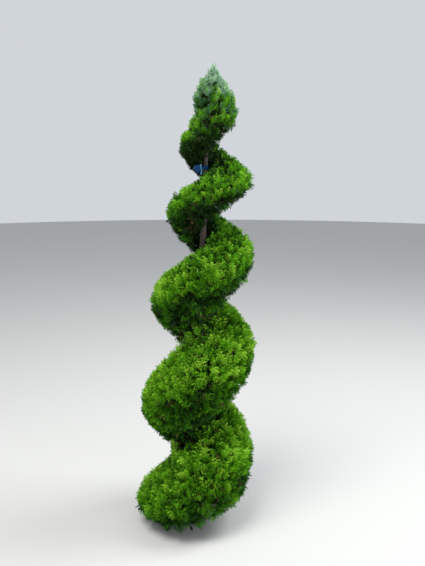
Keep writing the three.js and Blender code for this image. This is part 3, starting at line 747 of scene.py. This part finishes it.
class Crown:
    """The clipped surface, the tufts on it, and the branches, twigs and sprays that grow to them"""

    def __init__(self, sizes):
        self.sizes = sizes
        self.draw = np.random.default_rng(2024)
        self.find_tufts()
        self.grow_branches()
        self.grow_twigs()
        self.grow_sprays()

    def surface(self):
        """Grid over angle and height: points of the clipped surface, outward directions and cell areas

        A cell has no area below the hem, or where the groove is cut down to the room round the trunk.
        """
        angle = np.linspace(0.0, 2.0 * np.pi, GRID_ROUND, endpoint=False)
        height = np.linspace(0.005, HEIGHT - 0.003, GRID_HIGH)
        turn, rise = np.meshgrid(angle, height)
        radius = outline_radius(turn, rise)
        points = place(radius, turn, rise)
        round_step = (np.roll(points, -1, axis=1) - np.roll(points, 1, axis=1)) / 2.0
        rise_step = np.gradient(points, axis=0)
        cross = np.cross(round_step, rise_step)
        area = np.linalg.norm(cross, axis=-1)
        leafy = (radius > hollow_radius(rise) + CLEARANCE) | (rise > TOP_BEGINS)
        area = area * leafy * (points[..., 2] > hem_height(turn))
        return points.reshape(-1, 3), unit(cross).reshape(-1, 3), area.ravel()

    def hem_points(self, count):
        """Points over the open underside of the crown, facing down and outward"""
        angle = self.draw.uniform(0.0, 2.0 * np.pi, count)
        outer = outline_radius(angle, np.full(count, HEM_LEVEL)) - HEM_INSET
        radius = np.sqrt(mix(HEM_INNER**2, outer**2, self.draw.uniform(0.0, 1.0, count)))
        height = hem_height(angle) + tilt(radius) * radius * np.cos(angle) + HEM_INSET
        height = height + self.draw.uniform(0.0, HEM_INSET, count)
        points = place(radius, angle, height)
        return points, unit(around(angle, -0.9))

    def find_tufts(self):
        """Tuft places: drawn by area over the surface, then thinned to an even spacing"""
        points, facing, area = self.surface()
        density = mix(THIN_BELOW, 1.0, smooth(facing[:, 2], *LOOKS_DOWN))
        wanted = int(DRAWN_PER_TUFT * area.sum() / self.sizes.tuft_spacing**2)
        chosen = self.draw.choice(len(points), wanted, p=area / area.sum())
        spots = points[chosen] + self.draw.uniform(-TUFT_SHAKE, TUFT_SHAKE, (wanted, 3))
        hem_spots, hem_facing = self.hem_points(HEM_TUFTS)
        spots = np.concatenate([spots, hem_spots])
        self.facing = np.concatenate([facing[chosen], hem_facing])
        thin = np.concatenate([density[chosen], np.full(len(hem_spots), HEM_DENSITY)])
        height = locate(spots)[2]
        scale = np.maximum(envelope(height) / FOOT_RADIUS, LEAST_SCALE)
        reach = self.sizes.tuft_spacing * mix(LEAST_SPACING, 1.0, scale) / np.sqrt(thin)
        keep = spread_out(spots, reach)
        self.tufts = spots[keep]
        self.facing = self.facing[keep]
        self.scale = scale[keep]
        self.mass = mass_of(locate(self.tufts)[3])

    def grow_branches(self):
        """Main branches of each mass: from its stem, or the trunk's top, to places below the surface"""
        start, end, radius = bough_lines()
        tips = end + unit(end - start) * STEM_FORK
        inward = self.tufts - unit(self.facing) * BRANCH_DEPTH * self.scale[:, None]
        keep = spread_out(inward, BRANCH_SPACING * self.scale)
        goals = inward[keep]
        self.branch_tuft = np.flatnonzero(keep)
        mass = self.mass[keep]
        top = mass == MASS_COUNT
        roots = tips[np.minimum(mass, MASS_COUNT - 1)]
        top_height = np.clip(goals[:, 2] - 0.05, TOP_BRANCH_LOWEST, TRUNK_TOP - 0.02)
        top_roots = place(np.zeros(len(goals)), np.zeros(len(goals)), top_height)
        roots = np.where(top[:, None], top_roots, roots)
        sag = BRANCH_SAG * np.linalg.norm(goals - roots, axis=1)[:, None]
        self.branch_paths = bezier(roots, mix(roots, goals, 0.5) - UP * sag, goals, BRANCH_RINGS)
        thick = BRANCH_RADIUS * mix(0.5, 1.0, self.scale[keep])
        self.branch_radii = thick[:, None] * np.linspace(1.0, 0.5, BRANCH_RINGS)
        self.branch_mass = mass

    def grow_twigs(self):
        """Twigs: each leaves the nearest branch of its own mass and ends below its tuft, turned outward

        A branch that lies in front of the tuft counts as further off. Those of the tip turn upright.
        """
        draw = self.draw
        count = len(self.tufts)
        radial = unit(self.facing * np.array([1.0, 1.0, 0.0]) + 1e-6)
        lift = mix(*TWIG_LIFTS, smooth(self.facing[:, 2], -0.8, 0.1))
        loose = draw.normal(0.0, TWIG_LOOSE, (count, 3))
        lift = lift + LEADER_LIFT * smooth(self.tufts[:, 2], *LEADER_BEGINS)
        self.heading = unit(0.75 * self.facing + 0.30 * radial + lift[:, None] * UP + loose)
        self.depth = draw.uniform(*TWIG_DEPTH, count) * self.scale
        ends = self.tufts - self.heading * self.depth[:, None]
        nodes = self.branch_paths[:, 2:].reshape(-1, 3)
        owner = np.repeat(self.branch_mass, self.branch_paths.shape[1] - 2)
        roots = np.empty_like(ends)
        for mass in range(MASS_COUNT + 1):
            mine = np.flatnonzero(self.mass == mass)
            near = nodes[owner == mass]
            gap = np.linalg.norm(ends[mine, None] - near[None], axis=2)
            behind = ((ends[mine, None] - near[None]) * self.heading[mine, None]).sum(axis=2)
            cost = np.where(behind < 0.2 * gap, BEHIND_COST, 0.0)
            roots[mine] = near[np.argmin(gap + cost, axis=1)]
        length = np.linalg.norm(ends - roots, axis=1)[:, None]
        bend = ends - self.heading * length * 0.5
        tips = ends + self.heading * self.depth[:, None] * 0.45
        self.twig_paths = bezier(roots, bend, tips, TWIG_RINGS)
        thick = TWIG_RADIUS * mix(0.6, 1.0, self.scale)
        self.twig_radii = thick[:, None] * np.linspace(1.0, 0.45, TWIG_RINGS)

    def fine_sprays(self):
        """Sprays fanned off each twig's end: the first along its heading, the last well off it"""
        draw = self.draw
        each = self.sizes.sprays_per_tuft
        tuft = np.repeat(np.arange(len(self.tufts)), each)
        order = np.tile(np.arange(each), len(self.tufts))
        count = len(tuft)
        heading = self.heading[tuft]
        side = unit(np.cross(heading, UP) + 1e-6)
        over = np.cross(side, heading)
        share = (order + draw.uniform(0.0, 0.9, count)) / each
        open_angle = mix(*FAN_OPENS, share)
        swing = order * NEXT_TURN + draw.uniform(0.0, 2.0 * np.pi, len(self.tufts))[tuft]
        fan = turned(swing[:, None], side, over)
        aim = turned(open_angle[:, None], heading, fan)
        back = self.depth[tuft] * (1.0 + share * 0.9) + 0.002
        root = self.tufts[tuft] - heading * back[:, None]
        return root, unit(aim + UP * 0.12), tuft

    def coarse_sprays(self, paths, tuft, each, low, high):
        """Sprays along paths between the shares low and high of their length, loosely turned forward"""
        draw = self.draw
        owner = np.repeat(np.arange(len(paths)), each)
        at = draw.uniform(low, high, len(owner)) * (paths.shape[1] - 1)
        ring = np.floor(at).astype(int)
        here = paths[owner, ring]
        there = paths[owner, ring + 1]
        root = mix(here, there, (at - ring)[:, None])
        aim = unit(there - here) + UP * 0.15 + draw.normal(0.0, COARSE_LOOSE, (len(owner), 3))
        return root, unit(aim), tuft[owner]

    def trunk_sprays(self):
        """Sprays on the trunk, low down and in the top coil, which fill the grooves round it and, with their
        dark greens, paint shade into them
        """
        draw = self.draw
        count = self.sizes.trunk_sprays
        height = draw.uniform(TRUNK_SPRAYS_FROM, TRUNK_SPRAYS_FADE[1], count)
        height = by_chance(draw, smooth(height, *TRUNK_SPRAYS_FADE), height - TRUNK_SPRAYS_DROP, height)
        in_coil = draw.uniform(size=count) < COIL_SPRAYS_SHARE
        height = np.where(in_coil, draw.uniform(*COIL_SPRAYS, count), height)
        out = around(draw.uniform(0.0, 2.0 * np.pi, count))
        root = out * trunk_radius(height)[:, None] + UP * height[:, None]
        root[:, 0] += trunk_offset(height)
        aim = unit(out + UP * 0.35 + draw.normal(0.0, TRUNK_LOOSE, (count, 3)))
        gap = np.linalg.norm((root + out * 0.05)[:, None] - self.tufts[None], axis=2)
        return root, aim, np.argmin(gap, axis=1)

    def grow_sprays(self):
        """All sprays, most of them with their fan upright, clipped to the surface

        One that passes the surface slides back by SLIDE of what it is past, and is shorn by the rest. One on
        the trunk is only shorn. None is kept that would reach the ground, the trunk or past the tip, and no
        inner one that would show.
        """
        draw = self.draw
        sizes = self.sizes
        every = np.arange(len(self.tufts))
        fine = self.fine_sprays()
        inner = self.coarse_sprays(self.twig_paths, every, sizes.inner_per_tuft, 0.2, 0.8)
        deep = self.coarse_sprays(self.branch_paths, self.branch_tuft, sizes.inner_per_branch, 0.15, 0.98)
        trunk = self.trunk_sprays()
        groups = (fine, inner, deep, trunk)
        root, aim, tuft = (np.concatenate(arrays) for arrays in zip(*groups))
        kind = np.repeat(range(len(groups)), [len(part[0]) for part in groups])
        on_trunk = kind == TRUNK
        count = len(root)
        longer = np.array(KIND_LENGTHS)[kind]
        low_long = mix(KIND_LENGTHS[DEEP], longer, smooth(root[:, 2], *TRUNK_SPRAYS_LONG))
        longer = np.where(on_trunk, low_long, longer)
        length = sizes.spray_length * mix(0.30, 1.0, self.scale[tuft]) * longer
        length = length * draw.uniform(*SPRAY_LENGTHS, count)
        rough = draw.normal(0.0, TUFT_ROUGH, len(self.tufts))[tuft] + draw.normal(0.0, SPRAY_ROUGH, count)
        for _ in range(2):
            radius, angle, height, _ = locate(root + aim * length[:, None])
            limit = outline_radius(angle, height)
            limit = np.where(on_trunk, np.maximum(limit, hollow_radius(height)), limit)
            past = np.clip(radius - limit + SHORN - rough, 0.0, 0.5 * length)
            slide = np.where(on_trunk, 0.0, SLIDE)
            root = root - aim * (past * slide)[:, None]
            length = length - past * (1.0 - slide)
        tip = root + aim * length[:, None]
        radius, angle, height, _ = locate(tip)
        self.proud = radius - outline_radius(angle, height)
        inside = np.minimum(tip[:, 2], root[:, 2]) > GROUND_GAP
        inside &= tip[:, 2] < HEIGHT + TIP_PAST
        clear = (radius > trunk_radius(height) + CLEARANCE) | (height > TOP_BEGINS)
        keep = inside & clear & ((kind == FINE) | on_trunk | (self.proud < SUNK))
        roll = draw.normal(np.pi / 2.0, ROLL_LOOSE, count)
        across = unit(np.cross(aim, UP) + 1e-6)
        face = np.cross(across, aim)
        self.spray_root = root[keep]
        self.spray_aim = aim[keep]
        self.spray_side = turned(roll[:, None], across, face)[keep]
        self.spray_length = length[keep]
        self.spray_tuft = tuft[keep]
        self.spray_inner = kind[keep] != FINE
        self.proud = self.proud[keep]

    def spray_greens(self):
        """Which finish each spray has, with painted light and shade: brighter where it faces up and stands
        proud, darker inside and in the top coil, with chance by tuft

        Some of the brighter ones are cool below the top, more at the left as painted shade, and pale in it,
        and a few in the shade are dead.
        """
        draw = np.random.default_rng(7)
        tuft = self.spray_tuft
        count = len(tuft)
        rise = self.spray_root[:, 2]
        upward = self.facing[tuft, 2]
        # Painted light: sprays that face up are lit, and by height the painted shade keeps some light
        light = np.maximum(smooth(upward, -0.55, 0.45), np.interp(rise, *SHADE_LIGHT))
        inside = 1.0 - smooth(self.spray_root[:, 0], *RIGHT_EDGE)
        # Painted shade over the top coil's sprays that face down, but at its right edge
        coil = band(rise, COIL_BEGINS, COIL_ENDS) * inside
        light = light * mix(1.0, smooth(upward, -0.30, 0.45), coil)
        # Painted shade in recesses: sprays that lie deeper below the surface score lower
        proud = smooth(self.proud, -0.024, 0.004)
        chance = draw.normal(0.0, TUFT_CHANCE, len(self.tufts))[tuft] + draw.normal(0.0, SPRAY_CHANCE, count)
        score = 0.04 + 0.46 * light + 0.38 * proud * (0.35 + 0.65 * light) + chance
        # Painted light and shade by height, and more painted shade in the top coil
        score = score + np.interp(rise, *SCORE_SHIFT)
        score = score - 0.05 * band(rise, COIL_BEGINS, DARKER_ENDS) * inside
        # Inner and trunk sprays darker: painted shade inside the crown, partly the older inner foliage's own
        # green
        score = np.where(self.spray_inner, 0.36 * score - 0.11, score)
        which = np.searchsorted(GREEN_STEPS, score)
        # Cool, bluish sprays, more of them at the left as painted shade
        left = 1.0 - smooth(self.spray_root[:, 0], *COOL_FADES)
        cool = smooth(rise, *COOL_BEGINS) * mix(0.30, 0.75, left)
        which = by_chance(draw, cool * (which > 1), COOL, which)
        which = by_chance(draw, smooth(rise, *PALE_BEGINS) * 0.92 * (which > 1), PALE, which)
        return by_chance(draw, mix(0.03, 0.002, light) + 0.05 * self.spray_inner, DEAD, which)


def spread_out(points, reach):
    """Marks points, in their drawn order, that keep their reach from each one marked before"""
    tree = KDTree(len(points))
    for index, point in enumerate(points):
        tree.insert(point, index)
    tree.balance()
    free = np.ones(len(points), bool)
    keep = np.zeros(len(points), bool)
    for index, point in enumerate(points):
        if free[index]:
            keep[index] = True
            for _, near, _ in tree.find_range(point, reach[index]):
                free[near] = False
    return keep


def kite(base, step, long, half):
    """Slim blades from base along step: corners at the base, both sides of 0.6 of the way, and the tip"""
    turn = np.stack([-step[..., 1], step[..., 0]], axis=-1)
    middle = base + step * (0.6 * long)[..., None]
    wide = turn * np.broadcast_to(half, long.shape)[..., None]
    return np.stack([base, middle - wide, base + step * long[..., None], middle + wide], axis=-2)


def frond_shapes(shoots, blade):
    """Flat sprays of unit length: a rib along Y with side shoots by turns left and right, each forked once

    A shoot leaves the rib at y, at an angle that closes towards the tip, and shortens as 1 - 0.78 y.
    """
    shapes = []
    for spread, wide, bend, cup in FROND_KINDS:
        y = np.linspace(0.08, 0.76, shoots)
        hand = np.where(np.arange(shoots) % 2, 1.0, -1.0)
        angle = hand * spread * (1.0 - 0.30 * y)
        long = 0.62 * wide * (1.0 - 0.78 * y)
        base = np.stack([0.0 * y, y], axis=-1)
        step = np.stack([np.sin(angle), np.cos(angle)], axis=-1)
        fork = base + step * (0.36 * long)[:, None]
        fork_angle = angle - hand * (0.62 - 1.15 * (np.arange(shoots) % 3 > 0))
        fork_step = np.stack([np.sin(fork_angle), np.cos(fork_angle)], axis=-1)
        rib_base = np.array([[0.0, -0.10], [0.0, 0.62]])
        rib_long = np.array([0.95, 0.38])
        rib_half = np.array([0.5 * blade, blade])
        blades = [kite(base, step, long, blade), kite(fork, fork_step, 0.52 * long, 0.9 * blade),
                  kite(rib_base, np.array([[0.0, 1.0], [0.0, 1.0]]), rib_long, rib_half)]
        flat = np.concatenate(blades).reshape(-1, 2)
        lift = bend * flat[:, 1] ** 2 + cup * np.abs(flat[:, 0])
        shapes.append(np.column_stack([flat, lift]))
    return shapes


def spray_points(crown, chosen, shoots, blade):
    """Corners of the chosen sprays: each frond shape turned to its side, aim and face, and scaled"""
    shapes = np.stack(frond_shapes(shoots, blade))
    local = shapes[np.arange(len(chosen)) % len(shapes)]
    side = crown.spray_side[chosen]
    aim = crown.spray_aim[chosen]
    face = np.cross(side, aim)
    turned = local[..., :1] * side[:, None] + local[..., 1:2] * aim[:, None] + local[..., 2:] * face[:, None]
    return crown.spray_root[chosen][:, None] + turned * crown.spray_length[chosen][:, None, None]


def spray_piece(name, crown, chosen, greens, finishes):
    """One mesh of the chosen sprays, fine and coarse, with the finish of each spray on its faces"""
    points = []
    which = []
    for inner, shoots, blade in ((False, FINE_SHOOTS, FINE_BLADE), (True, COARSE_SHOOTS, COARSE_BLADE)):
        kind = chosen[crown.spray_inner[chosen] == inner]
        corners = spray_points(crown, kind, shoots, blade)
        points.append(corners.reshape(-1, 3))
        which.append(np.repeat(greens[kind], corners.shape[1] // 4))
    points = np.concatenate(points)
    blades = np.arange(len(points)).reshape(-1, 4)
    return new_piece(name, points, [blades], finishes, np.concatenate(which))


# Tie


def ribbon(path, facing, width, thick):
    """Tape along a path: a flat eight-cornered section, wide across facing and thin along it"""
    corner = np.array([[-0.5, -0.3], [-0.5, 0.3], [-0.42, 0.5], [0.42, 0.5],
                       [0.5, 0.3], [0.5, -0.3], [0.42, -0.5], [-0.42, -0.5]])
    ahead = unit(np.gradient(path, axis=0))
    flat = unit(facing - (facing * ahead).sum(axis=1, keepdims=True) * ahead)
    wide = np.cross(ahead, flat)
    points = path[:, None] + corner[:, :1] * width * wide[:, None] + corner[:, 1:] * thick * flat[:, None]
    return points.reshape(-1, 3), rings_closed(len(path), len(corner))


def tie_band(centre, outer):
    """Two laps of tape round the trunk, slowly widening, whose height swings once over both as a cosine"""
    turn = np.linspace(TIE_ANGLE, TIE_ANGLE + 4.0 * np.pi, 73)
    share = np.linspace(0.0, 1.0, 73)
    radius = outer + 0.0014 * share
    rise = 0.0030 * np.cos(turn * 0.5 + 0.4)
    path = centre + radius[:, None] * around(turn) + UP * rise[:, None]
    return ribbon(path, around(turn), 0.008, TAPE_THICK)


def tie_knot(centre, outer):
    """Gathered neck from the band, the folded knot that it ends in, the loops bunched on it and a short tail

    The knot is an ellipse of tape, and a loop goes out and back as the 0.8th power of a sine.
    """
    knot = centre + TIE_OUT * TIE_REACH
    share = np.linspace(0.0, 1.0, 28)[:, None]
    parts = []
    for lean in (-0.35, 0.35):
        path = centre + TIE_OUT * mix(outer, TIE_REACH, share) + UP * 0.002 * lean * np.sin(np.pi * share)
        parts.append(ribbon(path, UP + level_side(TIE_OUT) * lean + 0.0 * share, 0.007, FOLD_THICK))
    wrap = 2.0 * np.pi * share
    path = knot + turned(wrap, TIE_OUT * 0.0042, UP * 0.0052)
    parts.append(ribbon(path, turned(wrap, TIE_OUT, UP), 0.009, FOLD_THICK))
    for number, (length, swing, drop) in enumerate(TIE_LOOPS):
        level = math.cos(drop)
        ahead = np.array([-math.cos(swing) * level, -math.sin(swing) * level, -math.sin(drop)])
        aside = level_side(ahead)
        loop = np.pi * share
        crumple = UP * 0.0015 * np.sin(3.0 * loop + number)
        path = knot + ahead * length * np.sin(loop) ** 0.8 + aside * 0.0045 * np.cos(loop) + crumple
        width = 0.0160 * (0.45 + 0.55 * np.sin(loop))[:, :, None]
        parts.append(ribbon(path, turned(loop, aside, ahead), width, TAPE_THICK))
    path = knot + np.array([-0.003, -0.0045, 0.002]) + np.array([-0.008, -0.001, -0.024]) * share
    facing = np.array([0.2, -1.0, 0.0]) + UP * 0.5 * np.sin(5.0 * share)
    parts.append(ribbon(path, facing, 0.009, TAPE_THICK))
    return parts


def level_side(ahead):
    """Level direction square to a direction"""
    return unit(np.cross(UP, ahead))


def tie_tail(centre):
    """Tail that hangs in front of the knot from just above it, in a slight wave; its pale finish is a painted
    highlight
    """
    share = np.linspace(0.0, 1.0, 24)[:, None]
    top = centre + TIE_OUT * TIE_REACH + np.array([0.0, -0.0055, 0.0125])
    path = top - UP * 0.040 * share + np.array([-0.0015, -0.0012, 0.0]) * np.sin(7.0 * share)
    return ribbon(path, np.array([0.25, -1.0, 0.1]) + 0.3 * np.sin(6.0 * share), 0.005, TAPE_THICK)


# Add-on


def add_piece(name, shape, finish, slot, *nodes, smooth_faces=True):
    """One piece of one finish, settled on the body"""
    settle(new_piece(name, *shape, [finish], smooth_faces=smooth_faces), slot, *nodes)


def settle(piece, slot, *nodes):
    """Rides a piece on the one body and hides the nodes that it stands for; slot is not used"""
    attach(piece, BODY)
    if nodes:
        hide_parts(*nodes)


def add_light(name, location, size, power, colour):
    """A square soft light that faces the middle of the tree"""
    light = bpy.data.lights.new(name, "AREA")
    light.size = size
    light.energy = power
    light.color = colour
    lamp = bpy.data.objects.new(name, light)
    lamp.location = location
    aim = np.array(LIGHT_AIM) - np.array(location)
    level = math.hypot(aim[0], aim[1])
    lamp.rotation_euler = (math.pi / 2.0 + math.atan2(aim[2], level), 0.0, math.atan2(-aim[0], aim[1]))
    bpy.context.scene.collection.objects.link(lamp)


def length_setting(label, note, value, least, most):
    """Setting for a length"""
    return FloatProperty(name=label, description=note, default=value, min=least, max=most, unit="LENGTH")


def count_setting(label, note, value, least, most):
    """Setting for how many there are"""
    return IntProperty(name=label, description=note, default=value, min=least, max=most)


def colour_setting(label, note, *value):
    """Setting for a base colour"""
    return FloatVectorProperty(name=label, description=note, default=value, subtype="COLOR")


class TopiarySizes(bpy.types.PropertyGroup):
    """Sizes of the growth"""

    tuft_spacing: length_setting(
        "Tuft spacing", "Distance between tufts of sprays at the foot of the tree", 0.0215, 0.01, 0.1)
    sprays_per_tuft: count_setting(
        "Sprays per tuft", "How many fine sprays grow at the end of each twig", 11, 1, 20)
    inner_per_tuft: count_setting(
        "Inner sprays", "How many coarse sprays grow further in on each twig", 3, 0, 20)
    inner_per_branch: count_setting(
        "Branch sprays", "How many coarse sprays grow along each main branch", 45, 0, 100)
    trunk_sprays: count_setting(
        "Trunk sprays", "How many sprays grow on the trunk itself", 1550, 0, 10000)
    spray_length: length_setting(
        "Spray length", "Length of a spray at the foot of the tree", 0.052, 0.01, 0.2)


class TopiaryColours(bpy.types.PropertyGroup):
    """Base colours; the greens from tips to shade are painted light and shade as well as young and older
    growth
    """

    tip: colour_setting("Tips", "Youngest shoot tips", 0.280, 0.560, 0.035)
    fresh: colour_setting("Fresh", "Fresh sprays near the surface", 0.160, 0.430, 0.012)
    bright: colour_setting("Bright", "Bright sprays", 0.098, 0.320, 0.006)
    mid: colour_setting("Middle", "Ordinary sprays", 0.056, 0.215, 0.005)
    deep: colour_setting("Deep", "Older sprays", 0.029, 0.130, 0.006)
    shade: colour_setting("Shade", "Sprays in the shade", 0.016, 0.068, 0.006)
    pale: colour_setting("Pale", "Pale sprays at the top", 0.285, 0.470, 0.310)
    cool: colour_setting("Cool", "Bluish sprays below the top", 0.085, 0.215, 0.115)
    dead: colour_setting("Dead", "Dead brown sprays inside", 0.095, 0.068, 0.024)
    twig: colour_setting("Twigs", "Twigs and branches", 0.074, 0.047, 0.028)
    bark: colour_setting("Bark", "Bark of the trunk", 0.078, 0.074, 0.063)
    tie: colour_setting("Tie", "Plastic tie", 0.001, 0.036, 0.120)
    # The tie tail's pale colour is a painted highlight, the gloss along the tape
    tie_tail: colour_setting("Tie tail", "Bleached tail of the tie", 0.090, 0.230, 0.340)


class TOPIARY_OT_trunk(bpy.types.Operator):
    """Add the trunk and boughs with the relief of their bark"""

    bl_idname = "topiary.add_trunk"
    bl_label = "Trunk and boughs"

    def execute(self, context):
        bark = bark_finish(context.scene.topiary_colours)
        add_piece("trunk_bark", trunk_surface(), bark, "bark", "trunk")
        nodes = [f"bough_{mass + 1:02d}" for mass in range(MASS_COUNT)]
        add_piece("bough_bark", bough_surface(), bark, "bark", *nodes)
        return {"FINISHED"}


class TOPIARY_OT_foliage(bpy.types.Operator):
    """Grow the branches, twigs and leaf sprays of every mass"""

    bl_idname = "topiary.add_foliage"
    bl_label = "Twigs and sprays"

    def execute(self, context):
        crown = Crown(context.scene.topiary_sizes)
        colours = context.scene.topiary_colours
        brown = twig_finish(colours)
        finishes = leaf_finishes(colours)
        greens = crown.spray_greens()
        spray_mass = crown.mass[crown.spray_tuft]
        names = [f"foliage_{mass + 1:02d}" for mass in range(MASS_COUNT)] + ["foliage_top"]
        for mass, node in enumerate(names):
            chosen = np.flatnonzero(spray_mass == mass)
            piece = spray_piece(f"sprays_{node[8:]}", crown, chosen, greens, finishes)
            settle(piece, "foliage", node)
        add_piece("branches", tubes(crown.branch_paths, crown.branch_radii, 5), brown, "bark")
        twigs = tubes(crown.twig_paths, crown.twig_radii, 3)
        add_piece("twigs", twigs, brown, "bark", smooth_faces=False)
        return {"FINISHED"}


class TOPIARY_OT_tie(bpy.types.Operator):
    """Add the blue tie: a band round the trunk, with a bunch of loops and tails at the front left"""

    bl_idname = "topiary.add_tie"
    bl_label = "Tie"

    def execute(self, context):
        centre = np.array([trunk_offset(TIE_HEIGHT), 0.0, TIE_HEIGHT])
        outer = trunk_radius(TIE_HEIGHT) + TIE_GAP
        tape = joined([tie_band(centre, outer), *tie_knot(centre, outer)])
        colours = context.scene.topiary_colours
        add_piece("tie_tape", tape, tie_finish("tie_plastic", colours.tie), "tie", "tree_tie")
        # The tail's pale finish is a painted highlight
        add_piece("tie_tail", tie_tail(centre), tie_finish("tie_tail_painted_highlight", colours.tie_tail), "tie")
        return {"FINISHED"}


class TOPIARY_OT_stage(bpy.types.Operator):
    """Add the pale floor, the soft lights and the camera"""

    bl_idname = "topiary.add_stage"
    bl_label = "Stage"

    def execute(self, context):
        scene = context.scene
        rim = FLOOR_RADIUS * around(full_circle(96), -FLOOR_DROP)
        floor_finish = Finish("floor", Base_Color=FLOOR_COLOUR, Roughness=0.95)
        floor = new_piece("floor", rim, [np.arange(len(rim))[None]], [floor_finish.material])
        world = bpy.data.worlds.new("studio")
        world.use_nodes = True
        sky = world.node_tree.nodes["Background"].inputs
        sky["Color"].default_value = SKY_COLOUR
        sky["Strength"].default_value = SKY_STRENGTH
        scene.world = world
        for lamp in LIGHTS:
            add_light(*lamp)
        camera = bpy.data.cameras.new("camera")
        camera.lens = LENS
        camera.sensor_width = 36.0
        camera.dof.use_dof = False
        camera_object = bpy.data.objects.new("camera", camera)
        camera_object.location = CAMERA_AT
        camera_object.rotation_euler = (math.radians(CAMERA_PITCH), 0.0, 0.0)
        scene.collection.objects.link(camera_object)
        scene.camera = camera_object
        scene.view_settings.view_transform = "Standard"
        return {"FINISHED"}


class TOPIARY_PT_panel(bpy.types.Panel):
    """Sizes, colours and pieces of the topiary"""

    bl_idname = "TOPIARY_PT_panel"
    bl_label = "Spiral topiary"
    bl_space_type = "VIEW_3D"
    bl_region_type = "UI"
    bl_category = "Topiary"

    def draw(self, context):
        layout = self.layout
        for group in (context.scene.topiary_sizes, context.scene.topiary_colours):
            for name in group.bl_rna.properties.keys():
                if name not in {"rna_type", "name"}:
                    layout.prop(group, name)
        for operator in OPERATORS:
            layout.operator(operator.bl_idname)


OPERATORS = (TOPIARY_OT_trunk, TOPIARY_OT_foliage, TOPIARY_OT_tie, TOPIARY_OT_stage)
CLASSES = (TopiarySizes, TopiaryColours, *OPERATORS, TOPIARY_PT_panel)


def register():
    """Adds the classes and the two groups of settings on the scene"""
    for cls in CLASSES:
        bpy.utils.register_class(cls)
    bpy.types.Scene.topiary_sizes = PointerProperty(type=TopiarySizes)
    bpy.types.Scene.topiary_colours = PointerProperty(type=TopiaryColours)


def unregister():
    """Takes them away again"""
    del bpy.types.Scene.topiary_colours
    del bpy.types.Scene.topiary_sizes
    for cls in reversed(CLASSES):
        bpy.utils.unregister_class(cls)


def main():
    """Builds every piece"""
    register()
    bpy.ops.topiary.add_stage()
    bpy.ops.topiary.add_trunk()
    bpy.ops.topiary.add_foliage()
    bpy.ops.topiary.add_tie()


if __name__ == "__main__":
    main()
